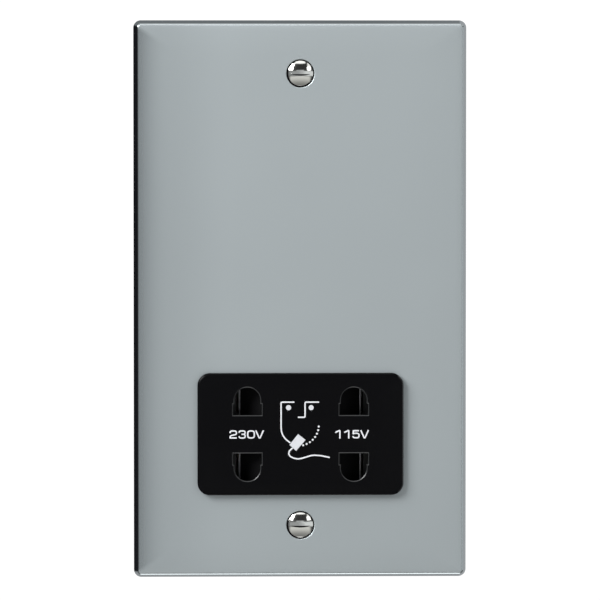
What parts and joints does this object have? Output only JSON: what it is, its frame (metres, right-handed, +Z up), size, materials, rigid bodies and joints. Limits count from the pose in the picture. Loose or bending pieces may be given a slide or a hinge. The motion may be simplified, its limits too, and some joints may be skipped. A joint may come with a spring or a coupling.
{
  "type": "shaver socket",
  "caption": "Dual-voltage shaver socket on a tall bright steel wall plate, with a black insert, a sliding safety shutter behind its pin apertures and a transformer behind",
  "frame": {"origin": "the point midway between the two fixing screws, on the wall plane", "axes": "+Z up, front faces -Y, +Y runs into the wall box"},
  "size_m": [0.089, 0.045, 0.149],
  "materials": {
    "plate_steel": "polished",
    "screw_nickel": "polished",
    "insert_black": "satin",
    "shutter_black": "matte",
    "inner_moulding": "matte",
    "carrier_black": "matte",
    "terminal_moulding": "matte",
    "cover_moulding": "matte",
    "spring_steel": "satin",
    "contact_bronze": "satin",
    "terminal_brass": "satin",
    "strap_copper": "satin",
    "winding_copper": "satin",
    "screw_zinc": "satin",
    "core_steel": "satin",
    "bobbin_plastic": "matte",
    "cutout_ceramic": "matte",
    "marking_white": "matte",
    "lead_brown": "satin",
    "lead_black": "satin",
    "lead_blue": "satin",
    "lead_white": "satin",
    "lead_yellow": "satin",
    "lead_red": "satin",
    "link_tinned": "satin"
  },
  "bodies": {
    "socket": {"front_plate": "plate_steel", "plate_screws": "screw_nickel", "chassis": "inner_moulding", "socket_front": "insert_black", "return_spring_left": "spring_steel", "return_spring_right": "spring_steel", "contact_carrier": "carrier_black", "contact_230_upper": "contact_bronze", "contact_230_lower": "contact_bronze", "contact_115_upper": "contact_bronze", "contact_115_lower": "contact_bronze", "switch_contact_line": "contact_bronze", "switch_contact_load": "contact_bronze", "socket_screws": "screw_zinc", "terminal_block": "terminal_moulding", "terminal_line": "terminal_brass", "terminal_neutral": "terminal_brass", "terminal_earth": "terminal_brass", "terminal_screws": "screw_zinc", "earth_strap": "strap_copper", "core_e_laminations": "core_steel", "core_i_laminations": "core_steel", "core_bolts": "screw_zinc", "coil_bobbin": "bobbin_plastic", "primary_winding": "winding_copper", "secondary_winding": "winding_copper", "thermal_cutout": "cutout_ceramic", "lead_line": "lead_brown", "lead_switched": "lead_brown", "lead_load": "lead_black", "lead_neutral": "lead_blue", "lead_common": "lead_white", "lead_115": "lead_yellow", "lead_230": "lead_red", "link_common": "link_tinned", "rear_cover": "cover_moulding", "cover_screws": "screw_zinc"},
    "shutter": {"shutter_slider": "shutter_black", "switch_bridge": "contact_bronze"}
  },
  "joints": [
    {"name": "shutter_slide", "type": "slide", "parent": "socket", "child": "shutter", "axis": [1, 0, 0], "range_m": [-0.0052, 0.0052], "stiffness_N_per_m": 250, "deforming": ["return_spring_left", "return_spring_right"]}
  ]
}
